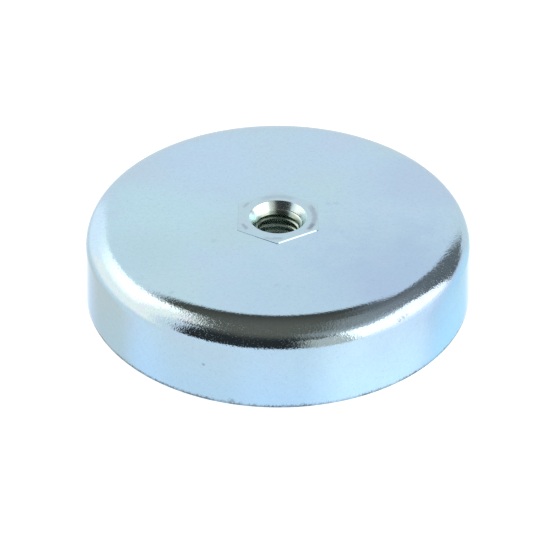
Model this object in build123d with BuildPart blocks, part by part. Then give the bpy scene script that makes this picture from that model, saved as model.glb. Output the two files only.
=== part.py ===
from build123d import *
import math
import os

# Ferrite pot magnet with a hexagonal threaded bush. Millimetres.
# The pot stands on its holding face: the rim lies in Z = 0, the closed plate faces +Z
# and the threaded bore runs along +Z through the middle.

# --- Steel cup -----------------------------------------------------------------------------
CUP_DIAMETER = 80.0        # over the open rim
CUP_HEIGHT = 18.0          # rim to the outside of the plate
SHEET = 3.0                # thickness of the plate
RIM_THICKNESS = 3.5        # the drawn wall gathers metal and is thickest at the rim
NOSE_BEVEL = 2.2           # inside corner from plate to wall, left by the punch's bevelled nose
SHOULDER_RADIUS = 4.4      # outside bend from plate to wall
CROWN_RADIUS = 12.0        # gentler bend that the plate rolls off with, before the shoulder
CROWN_ANGLE = 30.0         # how far the plate has turned down where the shoulder takes over
WALL_DRAFT = 2.2           # the wall flares out towards the rim, degrees off the axis
RIM_CHAMFER = 0.4          # broken edges of the ground rim

# --- Hexagonal bush ------------------------------------------------------------------------
HEX_ACROSS_FLATS = 16.4
HEX_STAND = 0.12           # the head stands this proud of the plate
HEX_CLEARANCE = 0.04       # each side, between the head and the hole pierced for it
HEAD_CHAMFER = 0.2         # broken edge round the head's face
FLANGE_DIAMETER = 24.0
FLANGE_THICKNESS = 3.0
FLANGE_CHAMFER = 0.5
BARREL_DIAMETER = 15.0
BARREL_LENGTH = 4.6        # below the flange
BARREL_CHAMFER = 0.6
THREAD_DIAMETER = 10.0     # M10 coarse
THREAD_PITCH = 1.5
MOUTH_DIAMETER = 11.8      # 90 degree countersink at the plate end
TAIL_MOUTH_DIAMETER = 10.6 # smaller countersink at the inner end
COUNTERSINK_ANGLE = 90.0

# --- Ferrite ring and the resin that holds it ----------------------------------------------
RING_BORE = 32.0
RING_CHAMFER = 0.8         # broken edges of the ring, all but the one in the pot's corner
RING_SIDE_GAP = 0.5        # ring to wall, filled with resin
RING_BEVEL_GAP = 0.3       # seat chamfer of the ring to the bevel in the pot
RING_FACE_RECESS = 0.3     # the ferrite sits back from the rim
GLUE_LINE = 0.2            # resin between the plate and the ring
RESIN_SINK = 0.25          # the cured fill has shrunk back from the ferrite's face

# --- Sizes that follow from the ones above -------------------------------------------------
draft = math.radians(WALL_DRAFT)
rim_radius = CUP_DIAMETER / 2 + RIM_CHAMFER * math.tan(draft)  # the wall, carried on to Z = 0
crown = math.radians(CROWN_ANGLE)
plate_inside = CUP_HEIGHT - SHEET
head_top = CUP_HEIGHT + HEX_STAND
hex_hole_across_flats = HEX_ACROSS_FLATS + 2 * HEX_CLEARANCE
flange_bottom = plate_inside - FLANGE_THICKNESS
bush_bottom = flange_bottom - BARREL_LENGTH
bore_diameter = THREAD_DIAMETER - THREAD_PITCH

# The shoulder's centre lies one radius inside the flared wall; the crown's centre follows
# from it, because the two bends share a tangent where they meet.
shoulder_centre_z = CUP_HEIGHT - CROWN_RADIUS + (CROWN_RADIUS - SHOULDER_RADIUS) * math.cos(crown)
shoulder_centre_x = (
    rim_radius - SHOULDER_RADIUS / math.cos(draft) - shoulder_centre_z * math.tan(draft)
)
plate_flat_radius = shoulder_centre_x - (CROWN_RADIUS - SHOULDER_RADIUS) * math.sin(crown)

# The punch leaves a straight wall inside, so the ring has the same gap all the way down. Its
# seat chamfer runs parallel to the bevel in the pot.
cavity_radius = CUP_DIAMETER / 2 - RIM_THICKNESS
ring_radius = cavity_radius - RING_SIDE_GAP
ring_top = plate_inside - GLUE_LINE
bevel_chamfer = NOSE_BEVEL - RING_SIDE_GAP - GLUE_LINE + RING_BEVEL_GAP * math.sqrt(2)
seat_chamfer = max(RING_CHAMFER, bevel_chamfer)
resin_bottom = RING_FACE_RECESS + RESIN_SINK


def cavity_line():
    """Half section of the pot's inside as the punch leaves it, from the axis to Z = 0.

    Returns:
        The plate's inside, the bevel and the straight wall, as one polyline.
    """
    return Polyline(
        (0, plate_inside),
        (cavity_radius - NOSE_BEVEL, plate_inside),
        (cavity_radius, plate_inside - NOSE_BEVEL),
        (cavity_radius, 0),
    )


# --- Steel cup: the bent section spun round the axis, then the hexagon pierced -------------
with BuildPart() as steel_cup:
    with BuildSketch(Plane.XZ):
        with BuildLine():
            plate = Line((0, CUP_HEIGHT), (plate_flat_radius, CUP_HEIGHT))
            crown_bend = JernArc(plate @ 1, plate % 1, CROWN_RADIUS, -CROWN_ANGLE)
            shoulder_turn = 90 - WALL_DRAFT - CROWN_ANGLE
            shoulder = JernArc(crown_bend @ 1, crown_bend % 1, SHOULDER_RADIUS, -shoulder_turn)
            wall = Line(shoulder @ 1, (rim_radius, 0))
            inside = cavity_line()
            Line(plate @ 0, inside @ 0)
            Line(wall @ 1, inside @ 1)
        make_face()
    revolve(axis=Axis.Z)
    chamfer(steel_cup.edges().group_by(Axis.Z)[0], length=RIM_CHAMFER)
    with BuildSketch(Plane.XY.offset(CUP_HEIGHT)):
        RegularPolygon(hex_hole_across_flats / 2, 6, major_radius=False, rotation=30)
    extrude(amount=-SHEET, mode=Mode.SUBTRACT)
steel_cup.part.label = "steel_cup"

# --- Hexagonal bush: head, flange and barrel, then the countersunk bore --------------------
with BuildPart() as hex_bush:
    with BuildSketch(Plane.XY.offset(plate_inside)):
        RegularPolygon(HEX_ACROSS_FLATS / 2, 6, major_radius=False, rotation=30)
    extrude(amount=head_top - plate_inside)
    chamfer(hex_bush.edges().group_by(Axis.Z)[-1], length=HEAD_CHAMFER)
    with BuildSketch(Plane.XY.offset(plate_inside)):
        Circle(FLANGE_DIAMETER / 2)
    extrude(amount=-FLANGE_THICKNESS)
    chamfer(hex_bush.edges().group_by(Axis.Z)[0], length=FLANGE_CHAMFER)
    with BuildSketch(Plane.XY.offset(flange_bottom)):
        Circle(BARREL_DIAMETER / 2)
    extrude(amount=-BARREL_LENGTH)
    chamfer(hex_bush.edges().group_by(Axis.Z)[0], length=BARREL_CHAMFER)
    with Locations(Plane.XY.offset(head_top)):
        CounterSinkHole(
            bore_diameter / 2,
            MOUTH_DIAMETER / 2,
            counter_sink_angle=COUNTERSINK_ANGLE,
        )
    tail_edges = hex_bush.edges().filter_by(GeomType.CIRCLE).group_by(Axis.Z)[0]
    chamfer(tail_edges.sort_by(SortBy.RADIUS)[0], length=(TAIL_MOUTH_DIAMETER - bore_diameter) / 2)
hex_bush.part.label = "hex_bush"

# --- Ferrite ring: pressed and ground, its edges chamfered in the die ----------------------
with BuildPart() as ferrite_ring:
    with BuildSketch(Plane.XY.offset(RING_FACE_RECESS)):
        Circle(ring_radius)
        Circle(RING_BORE / 2, mode=Mode.SUBTRACT)
    extrude(amount=ring_top - RING_FACE_RECESS)
    ring_edges = ferrite_ring.edges().filter_by(GeomType.CIRCLE).sort_by(SortBy.RADIUS)
    bore_edges, rim_edges = ring_edges[:2], ring_edges[2:].sort_by(Axis.Z)
    chamfer(rim_edges[-1], length=seat_chamfer)
    chamfer(bore_edges + rim_edges[:-1], length=RING_CHAMFER)
ferrite_ring.part.label = "ferrite_ring"

# --- Resin: fills the cavity round and behind the ring, open over the ring's bore ----------
with BuildPart() as resin_fill:
    with BuildSketch(Plane.XZ):
        with BuildLine():
            cavity = cavity_line()
            Polyline(cavity @ 0, (0, 0), cavity @ 1)
        make_face()
    revolve(axis=Axis.Z)
    with BuildSketch():
        Circle(rim_radius)
    extrude(amount=resin_bottom, mode=Mode.SUBTRACT)
    with BuildSketch():
        Circle(RING_BORE / 2 + RING_CHAMFER)
    extrude(amount=plate_inside, mode=Mode.SUBTRACT)
    add(ferrite_ring.part, mode=Mode.SUBTRACT)
resin_fill.part.label = "resin_fill"

os.makedirs("parts", exist_ok=True)
export_step(steel_cup.part, "parts/steel_cup.step")
export_step(hex_bush.part, "parts/hex_bush.step")
export_step(ferrite_ring.part, "parts/ferrite_ring.step")
export_step(resin_fill.part, "parts/resin_fill.step")
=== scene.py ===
"""Ferrite pot magnet with a hexagonal threaded bush, dressed and lit.

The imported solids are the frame. Each piece here stands for one of them, at the place that the
frame gives: the drawn steel pot, the hexagonal bush with its cut thread, the ferrite ring and
the resin that holds it. Sizes are in millimetres, and a mesh gets them in metres.
"""
import logging
import math
from collections.abc import Callable, Iterator
from contextlib import contextmanager
from dataclasses import dataclass
from enum import Enum

import bmesh
import bpy
from mathutils import Matrix, Vector


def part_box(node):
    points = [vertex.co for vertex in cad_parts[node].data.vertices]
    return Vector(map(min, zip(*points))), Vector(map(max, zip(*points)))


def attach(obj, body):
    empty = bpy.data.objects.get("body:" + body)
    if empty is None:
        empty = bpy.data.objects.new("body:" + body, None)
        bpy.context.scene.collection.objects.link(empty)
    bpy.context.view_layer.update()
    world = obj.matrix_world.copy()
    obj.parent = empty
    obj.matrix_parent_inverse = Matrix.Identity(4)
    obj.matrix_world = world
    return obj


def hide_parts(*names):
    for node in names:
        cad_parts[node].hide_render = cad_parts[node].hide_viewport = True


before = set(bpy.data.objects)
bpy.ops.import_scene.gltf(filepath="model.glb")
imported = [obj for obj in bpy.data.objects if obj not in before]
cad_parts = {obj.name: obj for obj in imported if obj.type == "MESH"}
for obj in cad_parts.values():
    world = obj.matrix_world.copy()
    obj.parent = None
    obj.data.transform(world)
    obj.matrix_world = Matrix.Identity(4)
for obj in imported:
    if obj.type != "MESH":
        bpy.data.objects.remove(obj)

log = logging.getLogger("pot_magnet")

Body = bpy.types.Object
Value = "Signal | float"
Colour = tuple[float, float, float]  # linear red, green and blue
Place = tuple[float, float, float]  # millimetres in the magnet's own frame
Span = tuple[float, float]  # two numbers that belong together

MM = 0.001  # metres in a millimetre
ROUND_STEPS = 288  # faces round the pot and the ring, a multiple of six
BUSH_STEPS = 144  # faces round the bush
WELD = 1e-6  # metres: points nearer than this are one
NEAR = 0.01  # mm: how near a height or a flat counts as reached
SAME = 0.001  # mm: how near two heights count as one


# --- Hand tools ---
class Cut(Enum):
    """What a second body does to the piece under it."""

    AWAY = "DIFFERENCE"
    JOIN = "UNION"


def deselect() -> None:
    """Lets go of every object."""
    bpy.ops.object.select_all(action="DESELECT")


def grip(piece: Body) -> None:
    """Selects one object alone and makes it active.

    Args:
        piece: the object.
    """
    deselect()
    piece.select_set(True)
    bpy.context.view_layer.objects.active = piece


@contextmanager
def editing(piece: Body) -> Iterator[bpy.types.Mesh]:
    """Opens one piece in edit mode with nothing selected, and closes it again.

    Args:
        piece: the mesh object to work on.

    Returns:
        Its mesh, for as long as the block runs.
    """
    grip(piece)
    bpy.ops.object.mode_set(mode="EDIT")
    bpy.ops.mesh.select_mode(type="VERT")
    bpy.ops.mesh.select_all(action="DESELECT")
    yield piece.data
    bpy.ops.mesh.select_mode(type="VERT")
    bpy.ops.object.mode_set(mode="OBJECT")


def pick(mesh: bpy.types.Mesh, test: Callable[..., bool], edges: bool = False) -> None:
    """Selects the points of an open mesh that pass a test, or the edges whose ends pass it.

    Args:
        mesh: a mesh in edit mode.
        test: says of a point, or of an edge's two ends, in millimetres, whether it belongs.
        edges: whether edges are picked.
    """
    bpy.ops.mesh.select_mode(type="EDGE" if edges else "VERT")
    bpy.ops.mesh.select_all(action="DESELECT")
    shape = bmesh.from_edit_mesh(mesh)
    for part in shape.edges if edges else shape.verts:
        ends = part.verts if edges else (part,)
        part.select = test(*(end.co / MM for end in ends))
    if not edges:
        shape.select_flush(True)
    bmesh.update_edit_mesh(mesh)


def shift(x: float = 0.0, y: float = 0.0, z: float = 0.0) -> None:
    """Moves what is selected in an open mesh, by millimetres."""
    bpy.ops.transform.translate(value=(x * MM, y * MM, z * MM))


def extrude(step: Vector) -> None:
    """Extrudes what is selected in an open mesh, by millimetres."""
    bpy.ops.mesh.extrude_region_move(TRANSFORM_OT_translate={"value": step * MM})


def settle(piece: Body, sharp_angle: float = 30.0) -> None:
    """Welds doubles, turns the faces outwards and smooths what isn't an edge.

    Args:
        piece: the finished piece.
        sharp_angle: degrees between faces past which an edge stays sharp.
    """
    with editing(piece):
        bpy.ops.mesh.select_all(action="SELECT")
        bpy.ops.mesh.remove_doubles(threshold=WELD)
        bpy.ops.mesh.normals_make_consistent(inside=False)
    bpy.ops.object.shade_smooth_by_angle(angle=math.radians(sharp_angle))


def apply_modifier(piece: Body, kind: str, settings: dict[str, object]) -> None:
    """Puts one modifier on a piece and applies it.

    Args:
        piece: what is worked on.
        kind: the modifier's type.
        settings: its properties.
    """
    grip(piece)
    modifier = piece.modifiers.new(kind.lower(), kind)
    for name, value in settings.items():
        setattr(modifier, name, value)
    bpy.ops.object.modifier_apply(modifier=modifier.name)


def machine(piece: Body, tool: Body, cut: Cut) -> None:
    """Applies an exact boolean and throws the tool away.

    Args:
        piece: what is worked on.
        tool: the body that cuts or joins it.
        cut: which of the two it does.
    """
    apply_modifier(piece, "BOOLEAN", {"operation": cut.value, "solver": "EXACT", "object": tool})
    bpy.data.objects.remove(tool)


def ease_edges(piece: Body, width: float, angle: float, steps: int = 2) -> None:
    """Rounds every edge that turns by more than an angle.

    Args:
        piece: what is worked on.
        width: width of the rounding in millimetres.
        angle: least turn of an edge that is rounded, in degrees.
        steps: faces across the rounding.
    """
    settings = {
        "width": width * MM,
        "segments": steps,
        "limit_method": "ANGLE",
        "angle_limit": math.radians(angle),
    }
    apply_modifier(piece, "BEVEL", settings)


class SectionPen:
    """Draws a half section in the XZ plane and spins it round the Z axis.

    The pen starts as a primitive merged to one point. Each stroke extrudes that point, straight
    or round a bend that leaves it along its own heading.
    """

    def __init__(self, name: str, x: float, z: float) -> None:
        """Sets the pen down.

        Args:
            name: name of the piece that it draws.
            x: distance from the axis, in millimetres.
            z: height, in millimetres.
        """
        self.at = Vector((x, 0.0, z))
        self.heading = 0.0
        deselect()
        bpy.ops.mesh.primitive_plane_add(size=MM, location=self.at * MM)
        bpy.ops.object.transform_apply(location=True)
        self.piece = bpy.context.object
        self.piece.name = self.piece.data.name = name
        bpy.ops.object.mode_set(mode="EDIT")
        bpy.ops.mesh.select_all(action="SELECT")
        bpy.ops.mesh.merge(type="CENTER")

    def to(self, x: float, z: float, cuts: int = 1) -> "SectionPen":
        """Draws a straight stroke to a point.

        Args:
            x: distance of the point from the axis, in millimetres.
            z: its height, in millimetres.
            cuts: how many lengths the stroke is divided into.

        Returns:
            The pen, ready for the next stroke.
        """
        step = (Vector((x, 0.0, z)) - self.at) / cuts
        for _ in range(cuts):
            extrude(step)
        self.heading = math.atan2(step.z, step.x)
        self.at = Vector((x, 0.0, z))
        return self

    def bend(self, radius: float, turn: float, steps: int) -> "SectionPen":
        """Draws an arc that starts along the pen's heading.

        Args:
            radius: radius of the bend in millimetres.
            turn: degrees, positive to the left as the pen travels.
            steps: how many lengths the arc is divided into.

        Returns:
            The pen, ready for the next stroke.
        """
        side = math.copysign(1.0, turn)
        left = Vector((-math.sin(self.heading), 0.0, math.cos(self.heading)))
        centre = self.at + left * radius * side
        angle = math.radians(turn)
        bpy.ops.mesh.spin(steps=steps, angle=angle, center=centre * MM, axis=(0, 1, 0))
        self.at = centre + Matrix.Rotation(-angle, 3, "Y") @ (self.at - centre)
        self.heading += angle
        return self

    def spin(self, steps: int) -> Body:
        """Spins the section a full turn and lifts the pen.

        Args:
            steps: faces round the piece.

        Returns:
            The turned piece, welded and facing outwards.
        """
        bpy.ops.mesh.select_all(action="SELECT")
        bpy.ops.mesh.spin(steps=steps, angle=math.tau, center=(0, 0, 0), axis=(0, 0, 1))
        bpy.ops.mesh.select_all(action="SELECT")
        bpy.ops.mesh.remove_doubles(threshold=WELD)
        bpy.ops.mesh.normals_make_consistent(inside=False)
        bpy.ops.object.mode_set(mode="OBJECT")
        return self.piece


# --- Shader maths ---
class Signal:
    """A number or colour on its way between shader nodes; arithmetic on it adds Math nodes."""

    def __init__(self, graph: "Graph", socket: bpy.types.NodeSocket) -> None:
        """Wraps one output socket of a graph."""
        self.graph = graph
        self.socket = socket

    def _math(self, operation: str, *values: Value) -> "Signal":
        """Adds a Math node on the given values."""
        return self.graph.node("ShaderNodeMath", {"operation": operation}, dict(enumerate(values)))

    def __add__(self, other: Value) -> "Signal":
        """Returns self + other."""
        return self._math("ADD", self, other)

    def __radd__(self, other: float) -> "Signal":
        """Returns other + self."""
        return self._math("ADD", other, self)

    def __sub__(self, other: Value) -> "Signal":
        """Returns self - other."""
        return self._math("SUBTRACT", self, other)

    def __rsub__(self, other: float) -> "Signal":
        """Returns other - self."""
        return self._math("SUBTRACT", other, self)

    def __mul__(self, other: Value) -> "Signal":
        """Returns self times other."""
        return self._math("MULTIPLY", self, other)

    def __rmul__(self, other: float) -> "Signal":
        """Returns other times self."""
        return self._math("MULTIPLY", other, self)

    def __truediv__(self, other: Value) -> "Signal":
        """Returns self over other."""
        return self._math("DIVIDE", self, other)

    def __abs__(self) -> "Signal":
        """Returns the size of self without its sign."""
        return self._math("ABSOLUTE", self)

    def call(self, operation: str, *others: Value) -> "Signal":
        """Returns any other Math operation on self and others."""
        return self._math(operation, self, *others)

    def rise(self, low: float, high: float) -> "Signal":
        """Eases from 0 to 1, or back where low is the larger.

        Args:
            low: value at which the result is 0.
            high: value at which the result is 1.

        Returns:
            The eased step, clamped.
        """
        ends = (low, high, 0.0, 1.0) if low < high else (high, low, 1.0, 0.0)
        settings = {"interpolation_type": "SMOOTHSTEP", "clamp": True}
        return self.graph.node("ShaderNodeMapRange", settings, dict(enumerate((self, *ends))))


class Graph:
    """A node tree under construction."""

    MIX_FACTOR, MIX_A, MIX_B, MIX_RESULT = 0, 6, 7, 2  # colour sockets of a Mix node

    def __init__(self, tree: bpy.types.NodeTree) -> None:
        """Empties a tree and takes it over."""
        self.tree = tree
        self.tree.nodes.clear()

    def node(
        self,
        kind: str,
        settings: dict[str, object] | None = None,
        inputs: dict[str | int, object] | None = None,
        outlet: str | int = 0,
    ) -> Signal:
        """Adds any node, sets it up and connects it.

        Args:
            kind: the node's type name.
            settings: its properties, such as an operation; set first.
            inputs: a value, a colour or a Signal for each socket, by name or place.
            outlet: which output to hand on, by name or place.

        Returns:
            That output.
        """
        node = self.tree.nodes.new(kind)
        for name, value in (settings or {}).items():
            setattr(node, name, value)
        for key, value in (inputs or {}).items():
            socket = node.inputs[key]
            if isinstance(value, Signal):
                self.tree.links.new(value.socket, socket)
            else:
                socket.default_value = (*value, 1.0) if socket.type == "RGBA" else value
        output = node.outputs[outlet] if node.outputs else None
        return Signal(self, output)

    def blend(self, factor: Value, first: object, second: object) -> Signal:
        """Mixes two colours.

        Args:
            factor: 0 for the first, 1 for the second.
            first: a colour or a Signal.
            second: a colour or a Signal.

        Returns:
            The mixed colour.
        """
        inputs = {self.MIX_FACTOR: factor, self.MIX_A: first, self.MIX_B: second}
        return self.node("ShaderNodeMix", {"data_type": "RGBA"}, inputs, self.MIX_RESULT)

    def millimetres(self) -> Signal:
        """Returns the Object coordinates in millimetres, the same on every piece."""
        inputs = {"Vector": self.node("ShaderNodeTexCoord", outlet="Object"), "Scale": 1 / MM}
        return self.node("ShaderNodeVectorMath", {"operation": "SCALE"}, inputs)

    def noise(self, place: Signal, size: float, detail: float = 2, rough: float = 0.5) -> Signal:
        """Adds a noise pattern.

        Args:
            place: coordinates in millimetres.
            size: size of its largest features in millimetres.
            detail: how many finer layers it has.
            rough: how strong the finer layers are.

        Returns:
            The pattern, about 0.5 in the middle.
        """
        inputs = {"Vector": place, "Scale": 1 / size, "Detail": detail, "Roughness": rough}
        return self.node("ShaderNodeTexNoise", {"noise_dimensions": "3D"}, inputs, "Fac")

    def distance_from(self, place: Signal, point: Place) -> Signal:
        """Returns how far the surface is from a point, both in millimetres."""
        settings = {"operation": "DISTANCE"}
        return self.node("ShaderNodeVectorMath", settings, {0: place, 1: point}, "Value")

    def axes(self, vector: Signal) -> tuple[Signal, Signal, Signal]:
        """Splits a vector.

        Args:
            vector: the vector.

        Returns:
            Its X, Y and Z.
        """
        split = self.node("ShaderNodeSeparateXYZ", inputs={"Vector": vector})
        return tuple(Signal(self, split.socket.node.outputs[axis]) for axis in "XYZ")

    def finish(self, height: Signal, inputs: dict[str, object]) -> None:
        """Ends the tree in one surface with a relief.

        Args:
            height: the relief in millimetres.
            inputs: what the surface's other sockets get.
        """
        bump = {"Strength": 1.0, "Distance": MM, "Height": height}
        relief = self.node("ShaderNodeBump", inputs=bump)
        surface = self.node("ShaderNodeBsdfPrincipled", inputs={**inputs, "Normal": relief})
        self.node("ShaderNodeOutputMaterial", inputs={"Surface": surface})


def new_material(name: str) -> tuple[bpy.types.Material, Graph]:
    """Adds a material and opens its tree.

    Args:
        name: its name.

    Returns:
        The material and its empty tree.
    """
    material = bpy.data.materials.new(name)
    material.use_nodes = True
    return material, Graph(material.node_tree)


@dataclass(frozen=True)
class Blemish:
    """A small mark in the plating: where it lies, how wide and how dark it is."""

    at: Place
    width: float  # mm
    depth: float


@dataclass(frozen=True)
class Stain:
    """A broad soft cloud in the plating that gives the metal under it another colour."""

    at: Place
    width: float  # mm, to where it has faded away
    colour: Colour
    amount: float


@dataclass(frozen=True)
class ArcMark:
    """Part of a dark ring on an upward face of the head, near its edges."""

    radius: float  # mm
    width: float  # mm
    azimuth: float  # degrees
    half_angle: float  # degrees
    depth: float


# --- Finishes ---
@dataclass(frozen=True)
class ZincFinish:
    """Bright zinc with a blue passivation, over steel that keeps a fine pressed grain."""

    name: str
    tint: Colour  # colour of the metal
    olive: Colour  # where the passivation is thick
    lilac: Colour  # where it is thin
    mirrored_shade_tint: Colour  # painted shade: a duller, bluer colour towards the rim, for the darker floor that the wall mirrors there
    roughness: float = 0.07
    pitting: float = 0.21  # roughness that the dull specks add
    grain: float = 1.0  # height of the fine grain, as a factor
    mouth: Colour | None = None  # bright turned mouth, if it has one
    thread: Colour | None = None  # darker colour in the bore below it: painted shade of the recess
    foot_shadow_height: float = 0.0  # mm, height of the painted contact shadow along the rim's foot
    stains: tuple[Stain, ...] = ()
    blemishes: tuple[Blemish, ...] = ()
    arcs: tuple[ArcMark, ...] = ()

    # sizes of the patterns, in millimetres
    PIT_SIZE = 0.33  # duller specks between the bright grains
    GRAIN_SIZE = 0.38
    MOTTLE_SIZE = 0.9  # faint darker specks
    PEEL_SIZE = 1.5  # the sheet's orange peel
    PATCH_SIZE = 5.0  # breaks in the painted shadow line along the foot
    VEIL_SIZE = 6.0  # finer clouds of passivation colour
    WAVE_SIZE = 12.0  # slow waves left by the drawing
    CLOUD_SIZE = 24.0  # broad clouds of passivation colour

    # the relief's heights, in millimetres
    GRAIN_HEIGHT = 0.023
    PEEL_HEIGHT = 0.012
    WAVE_HEIGHT = 0.045
    FLAT_GRAIN = 0.35  # share of the grain where it isn't stretched

    # where the surface changes, in millimetres
    MIRRORED_SHADE_HEIGHTS = (15.0, 1.0)  # heights over which the painted shade of the mirrored floor comes in
    BEND_TOP = (17.8, 16.9)  # the stretched bend starts below the plate
    BEND_FOOT = (11.0, 14.0)  # and ends on the wall
    FACE = (17.6, 17.9)  # the upward face that the dark arcs lie on
    OUTER_WALL = (39.6, 39.85)  # the outer wall, whose foot gets the painted contact shadow
    MOUTH = (5.95, 5.90)  # radius that the turned mouth starts at
    THREAD_RADIUS = (5.2, 5.05)  # radius and height that the bore starts at
    THREAD_HEIGHT = (16.6, 16.1)

    # how much the patterns and marks change
    GLOSS_SPREAD = 0.04  # roughness, up and down with the veil
    MOUTH_DULLNESS = 0.15  # roughness that the turning adds
    PIT_RANGE = (0.46, 0.72)
    CLOUD_RANGE, CLOUD_AMOUNT = (0.42, 0.62), 0.8
    VEIL_RANGE, VEIL_AMOUNT = (0.48, 0.7), 0.7
    GRAIN_RANGE, GRAIN_AMOUNT = (0.58, 0.78), 0.16
    MOTTLE_RANGE, MOTTLE_AMOUNT = (0.25, 0.75), 0.1
    PATCH_RANGE, PATCH_AMOUNT = (0.3, 0.55), 0.45
    RUN_OFF, RUN_OFF_VEIL = 0.7, 0.6  # least of the painted floor shade, and its clouds
    LINE_AMOUNT = 0.35  # least of the painted shadow line along the foot
    LINE_CORE = 0.35  # share of its height that is darkest
    STAIN_CORE, SPOT_CORE, ARC_CORE = 0.15, 0.25, 0.2  # shares that are darkest
    SPOT_FRAY = 2.0  # how much the grain frays a spot, in widths
    ARC_FADE = 0.5  # share of an arc's length where it starts to fade
    GRAIN_SHADE = (0.2, 0.25, 0.28)
    MOTTLE_SHADE = (0.3, 0.4, 0.52)
    # dark colour of the small marks, and of the painted contact shadow along the foot
    GRIME_AND_SHADE = (0.045, 0.055, 0.06)
    DARK_ARC = (0.20, 0.22, 0.30)
    GLANCING = (0.84, 0.86, 0.87)  # what is left of a mirror image at the limb

    def build(self) -> bpy.types.Material:
        """Builds the material.

        Returns:
            The material.
        """
        material, graph = new_material(self.name)
        place = graph.millimetres()
        x, y, z = graph.axes(place)
        radius = (x * x + y * y).call("SQRT")
        grain = graph.noise(place, self.GRAIN_SIZE, detail=1.0)
        veil = graph.noise(place, self.VEIL_SIZE, detail=4.0, rough=0.62)

        colour = self.clouds(graph, place, veil)
        # painted shade: the wall turns duller and bluer towards the foot, for the darker floor
        # near the magnet that it mirrors
        mirrored_shade = z.rise(*self.MIRRORED_SHADE_HEIGHTS) * (self.RUN_OFF + veil * self.RUN_OFF_VEIL)
        colour = graph.blend(mirrored_shade, colour, self.mirrored_shade_tint)
        bright = grain.rise(*self.GRAIN_RANGE) * self.GRAIN_AMOUNT
        colour = graph.blend(bright, colour, self.GRAIN_SHADE)
        gloss = (veil - 0.5) * self.GLOSS_SPREAD + self.roughness
        mottle = graph.noise(place, self.MOTTLE_SIZE, rough=0.6).rise(*self.MOTTLE_RANGE)
        colour = graph.blend(mottle * self.MOTTLE_AMOUNT, colour, self.MOTTLE_SHADE)
        if self.mouth:
            turned = radius.rise(*self.MOUTH)
            colour = graph.blend(turned, colour, self.mouth)
            gloss = gloss + turned * self.MOUTH_DULLNESS
        if self.thread:
            # painted shade: the bore below the mouth gets a darker colour, for the shade inside it
            inside = radius.rise(*self.THREAD_RADIUS) * z.rise(*self.THREAD_HEIGHT)
            colour = graph.blend(inside, colour, self.thread)
        colour = self.marks(graph, place, colour, grain, (x, y, z, radius))

        pits = graph.noise(place, self.PIT_SIZE, detail=1.0).rise(*self.PIT_RANGE)
        stretched = z.rise(*self.BEND_TOP) * z.rise(*self.BEND_FOOT)
        peel = graph.noise(place, self.PEEL_SIZE, detail=1.0)
        coarse = grain * self.GRAIN_HEIGHT + peel * self.PEEL_HEIGHT
        share = self.FLAT_GRAIN + stretched * (1.0 - self.FLAT_GRAIN)
        waves = graph.noise(place, self.WAVE_SIZE, detail=0.0) * self.WAVE_HEIGHT
        inputs = {
            "Base Color": colour,
            "Metallic": 1.0,
            "Roughness": gloss + pits * self.pitting * stretched,
            "Specular Tint": self.GLANCING,
        }
        graph.finish(coarse * share * self.grain + waves, inputs)
        return material

    def clouds(self, graph: Graph, place: Signal, veil: Signal) -> Signal:
        """Clouds the metal's colour with thick and thin passivation.

        Args:
            graph: the tree under construction.
            place: coordinates in millimetres.
            veil: the finer of the two patterns.

        Returns:
            The clouded colour.
        """
        broad = graph.noise(place, self.CLOUD_SIZE, detail=3.0, rough=0.55)
        thick = broad.rise(*self.CLOUD_RANGE)
        thin = veil.rise(*self.VEIL_RANGE)
        colour = graph.blend(thick * self.CLOUD_AMOUNT, self.tint, self.olive)
        colour = graph.blend(thin * self.VEIL_AMOUNT, colour, self.lilac)
        for stain in self.stains:
            away = graph.distance_from(place, stain.at) + (veil - 0.5) * stain.width
            cover = away.rise(stain.width, stain.width * self.STAIN_CORE) * stain.amount
            colour = graph.blend(cover, colour, stain.colour)
        return colour

    def marks(
        self,
        graph: Graph,
        place: Signal,
        colour: Signal,
        grain: Signal,
        axes: tuple[Signal, Signal, Signal, Signal],
    ) -> Signal:
        """Adds the small marks, the dark arcs on the head and the painted contact shadow along the
        foot.

        Args:
            graph: the tree under construction.
            place: coordinates in millimetres.
            colour: the colour so far.
            grain: the fine pattern, which frays the marks.
            axes: x, y, z and the distance from the axis, in millimetres.

        Returns:
            The marked colour.
        """
        x, y, z, radius = axes
        fray = grain - 0.5
        for mark in self.blemishes:
            away = graph.distance_from(place, mark.at) + fray * mark.width * self.SPOT_FRAY
            spot = away.rise(mark.width, mark.width * self.SPOT_CORE) * mark.depth
            colour = graph.blend(spot, colour, self.GRIME_AND_SHADE)
        # darker arcs on the head's face, near its edges and corners
        for arc in self.arcs:
            turn = math.radians(arc.azimuth)
            along = (x * math.cos(turn) + y * math.sin(turn)) / radius
            across = abs(radius - arc.radius) + fray * arc.width
            end, core = (math.radians(arc.half_angle * share) for share in (1, self.ARC_FADE))
            ring = along.rise(math.cos(end), math.cos(core))
            ring = across.rise(arc.width, arc.width * self.ARC_CORE) * ring
            ring = ring * z.rise(*self.FACE) * arc.depth
            colour = graph.blend(ring, colour, self.DARK_ARC)
        # painted shadow: a dark line along the outer wall's foot, broken into patches, where the
        # floor's contact shadow falls
        if self.foot_shadow_height:
            height = z + fray * self.foot_shadow_height
            line = height.rise(self.foot_shadow_height, self.foot_shadow_height * self.LINE_CORE)
            patches = graph.noise(place, self.PATCH_SIZE, detail=3.0, rough=0.6)
            patches = patches.rise(*self.PATCH_RANGE) * self.PATCH_AMOUNT
            line = line * radius.rise(*self.OUTER_WALL) * (patches + self.LINE_AMOUNT)
            colour = graph.blend(line, colour, self.GRIME_AND_SHADE)
        return colour


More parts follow.
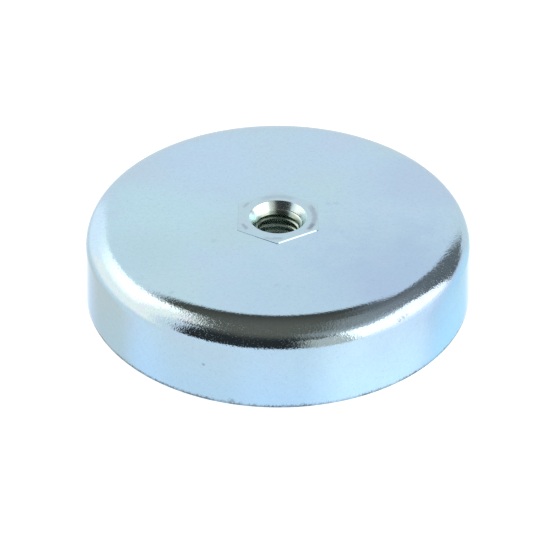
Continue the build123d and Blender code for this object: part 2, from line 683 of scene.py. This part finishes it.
@dataclass(frozen=True)
class FerriteFinish:
    """Sintered ferrite, ground flat: charcoal, with grinding lines and fine pores."""

    name: str = "ground_ferrite"
    dark: Colour = (0.030, 0.031, 0.034)
    pale: Colour = (0.075, 0.077, 0.082)
    pore: Colour = (0.012, 0.012, 0.013)
    roughness: float = 0.48

    LINE_WIDTH = 0.25  # mm between grinding lines
    LINE_LENGTH = 40.0  # how much longer than wide a line is
    LINE_DEPTH = 0.004  # mm
    LINE_GLOSS = 0.2  # roughness, up and down with the lines
    PATCH_SIZE = 18.0  # mm, clouds in the grey
    PORE_SIZE = 0.5  # mm
    PORE_DEPTH = 0.02  # mm
    PORE_AMOUNT = 0.8
    PORE_RANGE, DIP_RANGE = (0.63, 0.72), (0.6, 0.75)  # where a pore is dark, and deep
    GREY_RANGE = (0.3, 0.7)

    def build(self) -> bpy.types.Material:
        """Builds the material.

        Returns:
            The material.
        """
        material, graph = new_material(self.name)
        place = graph.millimetres()
        scale = (1 / self.LINE_LENGTH, 1, 1)
        along = graph.node("ShaderNodeMapping", inputs={"Vector": place, "Scale": scale})
        lines = graph.noise(along, self.LINE_WIDTH, detail=3.0, rough=0.6)
        pores = graph.noise(place, self.PORE_SIZE, detail=3.0, rough=0.7)
        patches = graph.noise(place, self.PATCH_SIZE, detail=3.0, rough=0.6)
        grey = (lines * 0.5 + patches * 0.5).rise(*self.GREY_RANGE)
        colour = graph.blend(grey, self.dark, self.pale)
        dark = pores.rise(*self.PORE_RANGE) * self.PORE_AMOUNT
        colour = graph.blend(dark, colour, self.pore)
        gloss = self.roughness + (lines - 0.5) * self.LINE_GLOSS
        height = lines * self.LINE_DEPTH - pores.rise(*self.DIP_RANGE) * self.PORE_DEPTH
        graph.finish(height, {"Base Color": colour, "Roughness": gloss})
        return material


@dataclass(frozen=True)
class ResinFinish:
    """Cast epoxy: near black, glossy where it flowed, with dust bound into it."""

    name: str = "cast_resin"
    colour: Colour = (0.016, 0.015, 0.014)
    dust: Colour = (0.09, 0.085, 0.08)
    roughness: float = 0.3

    FLOW_SIZE = 3.0  # mm
    FLOW_HEIGHT = 0.06  # mm
    SPECK_SIZE = 0.3  # mm
    SPECK_HEIGHT = 0.01  # mm
    SPECK_RANGE, SPECK_AMOUNT = (0.6, 0.8), 0.7
    SPECK_GLOSS = 0.2  # roughness that the dust adds

    def build(self) -> bpy.types.Material:
        """Builds the material.

        Returns:
            The material.
        """
        material, graph = new_material(self.name)
        place = graph.millimetres()
        flow = graph.noise(place, self.FLOW_SIZE)
        specks = graph.noise(place, self.SPECK_SIZE, rough=0.7)
        dusty = specks.rise(*self.SPECK_RANGE) * self.SPECK_AMOUNT
        colour = graph.blend(dusty, self.colour, self.dust)
        gloss = self.roughness + specks * self.SPECK_GLOSS
        height = flow * self.FLOW_HEIGHT + specks * self.SPECK_HEIGHT
        graph.finish(height, {"Base Color": colour, "Roughness": gloss})
        return material


POT_PLATING = ZincFinish(
    name="passivated_zinc_pot",
    tint=(0.48, 0.665, 0.80),
    olive=(0.49, 0.685, 0.75),
    lilac=(0.50, 0.63, 0.80),
    mirrored_shade_tint=(0.44, 0.665, 0.87),
    # painted contact shadow along the foot, 1.2 mm high
    foot_shadow_height=1.2,
    stains=(
        Stain((25, -22, 18), 30, (0.415, 0.565, 0.745), 1),
        Stain((2, -28, 18), 20, (0.445, 0.63, 0.78), 0.7),
        Stain((-24, 2, 18), 20, (0.495, 0.72, 0.80), 0.8),
        Stain((-26, -12, 18), 12, (0.46, 0.66, 0.73), 0.7),
        Stain((-10, -6, 18), 10, (0.48, 0.67, 0.73), 0.7),
        Stain((29, 13, 18), 16, (0.46, 0.60, 0.77), 0.9),
        Stain((-14, 22, 18), 22, (0.50, 0.66, 0.84), 0.7),
        Stain((10, 27, 18), 18, (0.49, 0.65, 0.83), 0.7),
        Stain((-28, 17, 17.9), 8, (0.51, 0.64, 0.76), 0.6),
        Stain((20, -24, 18), 7, (0.43, 0.54, 0.75), 0.45),
        Stain((13, 28, 18), 6, (0.52, 0.635, 0.78), 0.5),
    ),
    blemishes=(
        Blemish((-14.5, -36.9, 8.7), 0.5, 0.4),
        Blemish((-9, -38.9, 1.2), 0.85, 0.4),
        Blemish((23.7, -30.7, 14.9), 0.6, 0.4),
        Blemish((24.5, -30.1, 15), 0.7, 0.45),
        Blemish((25.4, -29.4, 15.1), 0.55, 0.35),
        Blemish((12, 5.1, 18), 0.8, 0.1),
        Blemish((10.4, 4.9, 18), 0.7, 0.1),
        Blemish((-0.2, -23.4, 18), 0.7, 0.1),
        Blemish((-13, -8.4, 18), 0.9, 0.1),
        Blemish((-20.9, -25.8, 17.8), 0.8, 0.12),
    ),
)
BUSH_PLATING = ZincFinish(
    name="passivated_zinc_bush",
    tint=(0.475, 0.64, 0.735),
    olive=(0.49, 0.655, 0.72),
    lilac=(0.485, 0.625, 0.735),
    mirrored_shade_tint=(0.47, 0.62, 0.72),
    roughness=0.09,
    pitting=0.05,
    grain=0.4,
    mouth=(0.62, 0.80, 0.86),
    # darker bore colour: painted shade
    thread=(0.34, 0.46, 0.42),
    arcs=(
        ArcMark(7.3, 1, 90, 34, 0.22),
        ArcMark(7.65, 0.6, -153, 10, 0.45),
        ArcMark(7.85, 0.55, 147, 9, 0.3),
        ArcMark(7.65, 0.6, -90, 9, 0.3),
        ArcMark(7.9, 0.5, -103, 9, 0.25),
        ArcMark(7.6, 0.7, -27, 11, 0.6),
        ArcMark(7.55, 0.85, -2, 40, 0.4),
        ArcMark(8, 0.5, 26, 9, 0.2),
    ),
)


# --- Pieces ---
@dataclass
class Piece:
    """One dressed piece: the node that it stands for, its slot and its finish."""

    node: str
    slot: str

    def dress(self, piece: Body, material: bpy.types.Material) -> None:
        """Gives a mesh its finish and its place in the frame, riding on the root body.

        Args:
            piece: the finished mesh.
            material: its finish.
        """
        piece.data.materials.clear()
        piece.data.materials.append(material)
        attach(piece, "root")
        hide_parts(self.node)
        faces = sum(len(face.vertices) - 2 for face in piece.data.polygons)
        log.info("%s: %d triangles, for %s", piece.name, faces, self.node)

    @property
    def low(self) -> Vector:
        """Returns the node's lowest corner, in millimetres."""
        return Vector(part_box(self.node)[0]) / MM

    @property
    def high(self) -> Vector:
        """Returns the node's highest corner, in millimetres."""
        return Vector(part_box(self.node)[1]) / MM


@dataclass
class SteelPot(Piece):
    """The drawn pot: a flat plate that rolls off into a flared wall, pierced by a hexagon."""

    node: str = "steel_cup"
    slot: str = "plated_pot"
    sheet: float = 3.0
    rim_thickness: float = 3.5
    nose_bevel: float = 2.2
    shoulder_radius: float = 4.4
    crown_radius: float = 12.0
    crown_angle: float = 30.0
    wall_draft: float = 2.2
    rim_chamfer: float = 0.4
    edge_round: float = 0.12
    edge_angle: float = 35.0  # degrees: an edge that turns by more is rounded
    margin: float = 1.0  # narrow faces of the plate next to the bend
    hole_across_flats: float = 16.41
    hole_roll: float = 0.02  # the punched edge is rolled in by this much
    eye_radius: float = 12.0  # the spun plate ends here, and the hexagon's lip starts

    HOLE_CUTS = 3  # lengths of the hole's wall
    ROLL_CUTS = 4  # lengths of its rolled lip

    def build(self) -> None:
        """Spins the pot, closes the plate round the hexagon and dresses the piece."""
        top, rim_radius = self.high.z, self.high.x
        draft = math.radians(self.wall_draft)
        crown = math.radians(self.crown_angle)
        drop = self.crown_radius - self.shoulder_radius
        wall_at_floor = rim_radius + self.rim_chamfer * math.tan(draft)
        shoulder_z = top - self.crown_radius + drop * math.cos(crown)
        shoulder_x = (
            wall_at_floor - self.shoulder_radius / math.cos(draft) - shoulder_z * math.tan(draft)
        )
        flat_radius = shoulder_x - drop * math.sin(crown)
        cavity = rim_radius - self.rim_thickness
        inside = top - self.sheet
        chamfer, floor = self.rim_chamfer, self.low.z

        pen = SectionPen("pot_shell", self.eye_radius, top)
        pen.to(flat_radius - self.margin, top, cuts=12).to(flat_radius, top, cuts=2)
        pen.bend(self.crown_radius, -self.crown_angle, steps=16)
        pen.bend(self.shoulder_radius, self.crown_angle + self.wall_draft - 90.0, steps=20)
        pen.to(rim_radius, chamfer, cuts=8).to(rim_radius - chamfer, floor)
        pen.to(cavity + chamfer, floor, cuts=2).to(cavity, chamfer)
        pen.to(cavity, inside - self.nose_bevel, cuts=4)
        pen.to(cavity - self.nose_bevel, inside, cuts=2).to(self.eye_radius, inside, cuts=8)
        pot = pen.spin(ROUND_STEPS)
        self.close_eye(pot)
        ease_edges(pot, self.edge_round, self.edge_angle)
        settle(pot)
        self.dress(pot, POT_PLATING.build())

    def close_eye(self, pot: Body) -> None:
        """Adds the hexagonal hole with its rolled lip and joins it to the spun plate.

        Args:
            pot: the spun pot, open round the axis.
        """
        top, half = self.high.z, self.hole_across_flats / 2
        inside = top - self.sheet
        rise = (top - inside - self.hole_roll) / self.HOLE_CUTS
        strokes = [(rise, half)] * self.HOLE_CUTS
        for step in range(self.ROLL_CUTS):
            before, turn = (math.pi / 2 * (step + i) / self.ROLL_CUTS for i in (0, 1))
            lift = self.hole_roll * (math.sin(turn) - math.sin(before))
            strokes.append((lift, half + self.hole_roll * (1 - math.cos(turn))))
        with editing(pot) as mesh:
            bpy.ops.mesh.primitive_circle_add(
                vertices=6, radius=half * 2 / math.sqrt(3.0) * MM, location=(0, 0, inside * MM)
            )
            bpy.ops.mesh.subdivide(number_cuts=ROUND_STEPS // 6 - 1)
            width = half
            for lift, wider in strokes:
                extrude(Vector((0, 0, lift)))
                scale = wider / width
                bpy.ops.transform.resize(value=(scale, scale, 1), center_override=(0, 0, 0))
                width = wider
            reach = self.eye_radius + NEAR
            for height in (top, inside):
                pick(mesh, lambda p, z=height: abs(p.z - z) < SAME and p.xy.length < reach)
                bpy.ops.mesh.bridge_edge_loops()


@dataclass
class HexBush(Piece):
    """The bush: a hexagonal head and a flange clamp the plate, and an M10 thread runs through."""

    node: str = "hex_bush"
    slot: str = "plated_bush"
    across_flats: float = 16.4
    head_fall: Span = (0.40, 0.06)  # the face falls off this far in, and so deep
    filed_azimuth: float = -60.0  # the edge that faces this way was dressed with a file
    filed_width: float = 0.29
    corner_round: float = 0.27
    plate_inside: float = 15.0
    flange_thickness: float = 3.0
    flange_chamfer: float = 0.5
    barrel_radius: float = 7.5
    barrel_chamfer: float = 0.6
    thread_radius: float = 5.0
    thread_pitch: float = 1.5
    mouth_radius: float = 5.9
    tail_mouth_radius: float = 5.3
    countersink_angle: float = 64.0
    edge_round: float = 0.12
    edge_angle: float = 28.0  # degrees

    CREST = 1 / 16  # half of the flat in the thread's root, in pitches
    DEPTH = 0.66  # how deep the tap's ridge reaches, in pitches
    FLANK = 30.0  # degrees
    SPARE_TURNS = 2  # the tap runs out of both ends
    OVERRUN = 1.0  # mm: the drill starts and ends outside the bush

    def build(self) -> None:
        """Turns and forges the bush, bores and taps it, and dresses the piece."""
        bush = self.body()
        ease_edges(bush, self.edge_round, self.edge_angle, steps=3)
        machine(bush, self.head(), Cut.JOIN)
        machine(bush, self.bore(), Cut.AWAY)
        machine(bush, self.tap(), Cut.AWAY)
        settle(bush, self.edge_angle)
        self.dress(bush, BUSH_PLATING.build())

    def body(self) -> Body:
        """Turns the flange and the barrel.

        Returns:
            The turned body.
        """
        bottom, flange, barrel = self.low.z, self.high.x, self.barrel_radius
        under = self.plate_inside - self.flange_thickness
        pen = SectionPen("hex_bush_dressed", 0.0, self.plate_inside)
        pen.to(flange, self.plate_inside, cuts=2).to(flange, under + self.flange_chamfer)
        pen.to(flange - self.flange_chamfer, under)
        pen.to(barrel, under).to(barrel, bottom + self.barrel_chamfer)
        pen.to(barrel - self.barrel_chamfer, bottom).to(0.0, bottom)
        return pen.spin(BUSH_STEPS)

    def head(self) -> Body:
        """Makes the hexagonal head, two flats towards +X and -X, its face rolled off.

        Returns:
            The head, which reaches a little into the flange.
        """
        top = self.high.z
        root = self.plate_inside - self.flange_thickness / 2
        inset, fall = self.head_fall
        filed = self.filed_width
        deselect()
        bpy.ops.mesh.primitive_cylinder_add(
            vertices=6,
            radius=self.across_flats / math.sqrt(3.0) * MM,
            depth=(top - fall - root) * MM,
            location=(0, 0, (top - fall + root) / 2 * MM),
        )
        bpy.ops.object.transform_apply(location=True)
        head = bpy.context.object
        turn = math.radians(self.filed_azimuth)
        facing = Vector((math.cos(turn), math.sin(turn)))
        flat = self.across_flats / 2 - NEAR
        with editing(head) as mesh:
            pick(mesh, lambda a, b: abs(a.z - b.z) > NEAR, edges=True)
            bpy.ops.mesh.bevel(offset=self.corner_round * MM, segments=4, affect="EDGES")
            pick(mesh, lambda p: p.z > top - fall - NEAR)
            bpy.ops.mesh.inset(thickness=inset * MM)
            shift(z=fall)
            pick(mesh, lambda p: p.z > top - NEAR and p.xy.dot(facing) > flat - inset)
            shift(*(facing * (inset - filed)))
            pick(mesh, lambda p: p.z > top - fall - NEAR and p.xy.dot(facing) > flat)
            shift(z=fall - filed)
        return head

    def bore(self) -> Body:
        """Makes the drill that leaves the bore and both countersinks.

        Returns:
            The drill.
        """
        bottom, top, over = self.low.z, self.high.z, self.OVERRUN
        radius = self.thread_radius - self.thread_pitch / 2
        turn = 90.0 - self.countersink_angle / 2
        mouth = (self.mouth_radius - radius) * math.tan(math.radians(turn))
        tail = self.tail_mouth_radius - radius
        ease = self.edge_round * math.tan(math.radians(turn / 2))
        pen = SectionPen("drill", 0.0, top + over)
        pen.to(self.mouth_radius + ease, top + over).to(self.mouth_radius + ease, top)
        pen.heading = math.pi
        pen.bend(self.edge_round, turn, steps=4)
        pen.to(radius, top - mouth).to(radius, bottom + tail, cuts=6)
        pen.to(self.tail_mouth_radius, bottom).to(self.tail_mouth_radius, bottom - over)
        pen.to(0.0, bottom - over)
        return pen.spin(BUSH_STEPS)

    def tap(self) -> Body:
        """Makes the tap: a helical ridge with the form of the thread groove.

        Returns:
            The tap, closed at both ends.
        """
        bottom, top = self.low.z, self.high.z
        pitch, outer = self.thread_pitch, self.thread_radius
        crest = pitch * self.CREST
        inner = outer - pitch * self.DEPTH
        foot = crest + (outer - inner) * math.tan(math.radians(self.FLANK))
        deselect()
        bpy.ops.mesh.primitive_plane_add(size=MM, location=(0, 0, 0))
        tap = bpy.context.object
        tap.name = "tap"
        corners = ((inner, -foot), (outer, -crest), (outer, crest), (inner, foot))
        ordered = sorted(tap.data.vertices, key=lambda v: math.atan2(v.co.y, v.co.x))
        for vertex, (x, z) in zip(ordered, corners):
            vertex.co = Vector((x, 0.0, z + bottom - pitch)) * MM
        settings = {
            "axis": "Z",
            "angle": math.tau,
            "screw_offset": pitch * MM,
            "iterations": math.ceil((top - bottom) / pitch) + self.SPARE_TURNS,
            "steps": BUSH_STEPS // 2,
            "render_steps": BUSH_STEPS // 2,
        }
        apply_modifier(tap, "SCREW", settings)
        with editing(tap):
            bpy.ops.mesh.select_mode(type="EDGE")
            bpy.ops.mesh.select_non_manifold()
            bpy.ops.mesh.fill_holes(sides=4)
            bpy.ops.mesh.select_all(action="SELECT")
            bpy.ops.mesh.normals_make_consistent(inside=False)
        return tap


@dataclass
class FerriteRing(Piece):
    """The pressed ring, ground on its face, with broken edges."""

    node: str = "ferrite_ring"
    slot: str = "ferrite"
    bore_radius: float = 16.0
    chamfer: float = 0.8
    seat_chamfer: float = 1.92
    edge_round: float = 0.15
    edge_angle: float = 30.0  # degrees

    def build(self) -> None:
        """Turns the ring and dresses it."""
        chamfer, seat = self.chamfer, self.seat_chamfer
        bore, radius = self.bore_radius, self.high.x
        face, back = self.low.z, self.high.z
        pen = SectionPen("ferrite_ring_dressed", bore, back - chamfer)
        pen.to(bore + chamfer, back).to(radius - seat, back, cuts=6)
        pen.to(radius, back - seat).to(radius, face + chamfer, cuts=4)
        pen.to(radius - chamfer, face).to(bore + chamfer, face, cuts=8)
        pen.to(bore, face + chamfer).to(bore, back - chamfer, cuts=4)
        ring = pen.spin(ROUND_STEPS)
        ease_edges(ring, self.edge_round, self.edge_angle)
        settle(ring)
        self.dress(ring, FerriteFinish().build())


@dataclass
class ResinFill(Piece):
    """The cast fill between ring and pot, with a sunk meniscus round the ring."""

    node: str = "resin_fill"
    slot: str = "resin"
    bore_radius: float = 16.8
    ring_radius: float = 36.0
    ring_face: float = 0.3
    ring_chamfer: float = 0.8
    ring_top: float = 14.8
    seat_chamfer: float = 1.92
    nose_bevel: float = 2.2
    meniscus: float = 0.12  # how far it climbs both walls

    STEPS = (0.15, 0.35, 0.65, 0.85, 1.0)  # places across the meniscus, as shares

    def build(self) -> None:
        """Turns the fill and dresses it."""
        cavity, top, floor = self.high.x, self.high.z, self.low.z
        on_chamfer = self.ring_radius - self.ring_chamfer + (floor - self.ring_face)
        pen = SectionPen("resin_fill_dressed", self.bore_radius, top)
        pen.to(cavity - self.nose_bevel, top, cuts=4).to(cavity, top - self.nose_bevel)
        pen.to(cavity, floor, cuts=4)
        for share in self.STEPS:
            sag = self.meniscus * (1.0 - (2.0 * share - 1.0) ** 2)
            pen.to(cavity - (cavity - on_chamfer) * share, floor + sag)
        pen.to(self.ring_radius, self.ring_face + self.ring_chamfer)
        pen.to(self.ring_radius, self.ring_top - self.seat_chamfer, cuts=4)
        pen.to(self.ring_radius - self.seat_chamfer, self.ring_top)
        pen.to(self.bore_radius, self.ring_top, cuts=4).to(self.bore_radius, top)
        fill = pen.spin(ROUND_STEPS)
        settle(fill)
        self.dress(fill, ResinFinish().build())


# --- Studio ---
@dataclass(frozen=True)
class Screen:
    """A pale surface somewhere round the magnet, as the metal sees it."""

    azimuth: float  # degrees from +X towards +Y, of its middle
    half_width: float  # degrees
    low: float  # elevation of its lower end, degrees
    high: float  # elevation of its upper end, degrees
    glow: Colour
    side_softness: float  # degrees from nothing to all, at both sides
    low_softness: float
    high_softness: float
    taper: float = 0.0  # half width lost with each degree of elevation


@dataclass(frozen=True)
class Studio:
    """Pale floor, white backdrop, two soft boxes and the dim room round them."""

    room: Colour = (0.035, 0.034, 0.032)
    ceiling: Colour = (0.19, 0.16, 0.12)
    screens: tuple[Screen, ...] = (
        # wall behind, on the right
        Screen(40, 26, 0, 64, (0.22, 0.21, 0.19), 6, 6, 8),
        # floor, then its lit, its cool and its dull parts, and its back edge
        Screen(0, 181, -95, 5.5, (1.05, 1.07, 1.11), 1, 1, 6),
        Screen(-27, 35, -70, 4, (1.34, 1.35, 1.34), 34, 12, 8),
        Screen(84, 26, -60, -3, (1.38, 1.4, 1.4), 24, 14, 14),
        Screen(42, 26, -70, -6, (0.96, 1.2, 1.29), 30, 12, 12),
        Screen(150, 22, -70, -6, (0.98, 0.92, 0.82), 24, 14, 14),
        Screen(-137, 24, -70, -6, (1.02, 1.01, 0.99), 24, 14, 14),
        Screen(53, 12, -10, 13, (1.0, 1.0, 1.0), 4, 8, 5),
        # backdrop, its lit parts and the soft box on the left
        Screen(132, 83, -20, 55.2, (1.02, 1.02, 1.02), 5, 6, 5, 0.14),
        Screen(163, 37, -6, 68, (1.54, 1.33, 1.16), 12, 16, 8, 0.19),
        Screen(129, 13, -10, 28, (1.3, 1.26, 1.28), 5, 16, 12),
        Screen(149.5, 50.5, 34, 63, (2.4, 2.15, 1.95), 6, 26, 7, 0.75),
        # soft box on the right and what it spills over its top
        Screen(-12, 54, 48, 75, (0.42, 0.39, 0.35), 26, 20, 9),
        Screen(-57, 17, 3, 44, (0.8, 0.72, 0.62), 16, 14, 8),
        Screen(-17, 30, 44, 60, (0.84, 0.8, 0.74), 12, 4, 14),
        Screen(-13, 34, 5, 50.5, (2.4, 2.15, 1.94), 6, 22, 5),
    )
    dim_to_warm: Span = (42.0, 84.0)  # elevations, degrees
    floor_size: float = 6.0  # metres
    floor_glow: float = 0.85
    floor_albedo: float = 0.5
    # painted shadow: a dark disc under the magnet, seen by mirrors through the bore
    shadow_radius: float = 15.0  # mm
    shadow_glow: float = 0.06
    backdrop_radius: float = 2.7  # metres
    backdrop_glow: float = 1.0

    LEAST = 1e-4  # keeps the way straight up from dividing by 0

    def build(self) -> None:
        """Lights the world and puts up the stage."""
        self.light()
        self.lay_floor()
        self.shade_floor()
        self.hang_backdrop()

    def light(self) -> None:
        """Paints the studio's screens on the world, each over the ones before it."""
        world = bpy.data.worlds.new("studio")
        bpy.context.scene.world = world
        world.use_nodes = True
        graph = Graph(world.node_tree)
        x, y, z = graph.axes(graph.node("ShaderNodeTexCoord", outlet="Generated"))
        elevation = z.call("ARCSINE") * math.degrees(1.0)
        glow = graph.blend(elevation.rise(*self.dim_to_warm), self.room, self.ceiling)
        flat = (x * x + y * y).call("SQRT").call("MAXIMUM", self.LEAST)
        for screen in self.screens:
            angle = math.radians(screen.azimuth)
            facing = (x * math.cos(angle) + y * math.sin(angle)) / flat
            aside = facing.call("MINIMUM", 1.0).call("MAXIMUM", -1.0).call("ARCCOSINE")
            aside = aside * math.degrees(1.0)
            side = screen.side_softness / 2
            below, above = screen.low_softness / 2, screen.high_softness / 2
            inset = screen.half_width - aside - elevation * screen.taper
            mask = (
                inset.rise(-side, side)
                * elevation.rise(screen.low - below, screen.low + below)
                * elevation.rise(screen.high + above, screen.high - above)
            )
            glow = graph.blend(mask, glow, screen.glow)
        background = graph.node("ShaderNodeBackground", inputs={"Color": glow, "Strength": 1.0})
        graph.node("ShaderNodeOutputWorld", inputs={"Surface": background})

    def cover(self, name: str, kind: str, inputs: dict[str, object], one_sided: bool) -> Body:
        """Names the newest object and gives it a plain shader.

        Args:
            name: the object's name.
            kind: the shader's node type.
            inputs: what its sockets get.
            one_sided: whether it is clear from behind.

        Returns:
            The object.
        """
        sheet = bpy.context.object
        sheet.name = name
        material, graph = new_material(f"{name}_paper")
        shown = graph.node(kind, inputs=inputs)
        if one_sided:
            under = graph.node("ShaderNodeNewGeometry", outlet="Backfacing")
            clear = graph.node("ShaderNodeBsdfTransparent")
            shown = graph.node("ShaderNodeMixShader", inputs={0: under, 1: shown, 2: clear})
        graph.node("ShaderNodeOutputMaterial", inputs={"Surface": shown})
        sheet.data.materials.append(material)
        sheet.visible_shadow = False
        return sheet

    def lay_floor(self) -> None:
        """Lays a pale floor that is seen from above and open from below."""
        deselect()
        bpy.ops.mesh.primitive_plane_add(size=self.floor_size)
        inputs = {
            "Base Color": (self.floor_albedo,) * 3,
            "Roughness": 1.0,
            "Emission Color": (1.0, 1.0, 1.0),
            "Emission Strength": self.floor_glow,
        }
        floor = self.cover("floor", "ShaderNodeBsdfPrincipled", inputs, True)
        floor.visible_glossy = floor.visible_diffuse = False

    def shade_floor(self) -> None:
        """Lays a dark disc of painted shadow on the floor under the magnet, which only mirrors can
        see.
        """
        deselect()
        radius = self.shadow_radius * MM
        bpy.ops.mesh.primitive_circle_add(vertices=48, radius=radius, fill_type="NGON")
        inputs = {"Color": (self.shadow_glow,) * 3}
        # the painted shadow disc
        patch = self.cover("painted_floor_shadow", "ShaderNodeEmission", inputs, True)
        patch.visible_camera = False

    def hang_backdrop(self) -> None:
        """Hangs a white dome round the set, which only the camera can see."""
        deselect()
        bpy.ops.mesh.primitive_ico_sphere_add(subdivisions=3, radius=self.backdrop_radius)
        inputs = {"Color": (self.backdrop_glow,) * 3}
        dome = self.cover("backdrop", "ShaderNodeEmission", inputs, False)
        dome.visible_glossy = dome.visible_diffuse = False


@dataclass(frozen=True)
class Camera:
    """A long lens that looks down on the plate."""

    elevation: float = 36.11  # degrees above the floor
    distance: float = 515.8  # mm
    aim: Place = (-0.58, 0.0, 3.35)
    roll: float = 0.145  # degrees
    lens: float = 162.0  # mm, on the sensor below
    sensor: float = 36.0  # mm

    def build(self) -> None:
        """Places the camera and makes it the scene's own."""
        tilt = math.radians(self.elevation)
        back = Vector((0.0, -math.cos(tilt), math.sin(tilt)))
        data = bpy.data.cameras.new("camera")
        data.lens, data.sensor_width = self.lens, self.sensor
        camera = bpy.data.objects.new("camera", data)
        turn = (-back).to_track_quat("-Z", "Y").to_matrix() @ Matrix.Rotation(
            math.radians(self.roll), 3, "Z"
        )
        place = (Vector(self.aim) + back * self.distance) * MM
        camera.matrix_world = Matrix.Translation(place) @ turn.to_4x4()
        bpy.context.scene.collection.objects.link(camera)
        bpy.context.scene.camera = camera


def main() -> None:
    """Builds every piece round the frame, then the studio and the camera."""
    logging.basicConfig(level=logging.INFO, format="%(name)s: %(message)s")
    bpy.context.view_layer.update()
    for piece in (SteelPot(), HexBush(), FerriteRing(), ResinFill()):
        piece.build()
    Studio().build()
    Camera().build()
    bpy.context.scene.view_settings.view_transform = "Standard"


if __name__ == "__main__":
    main()
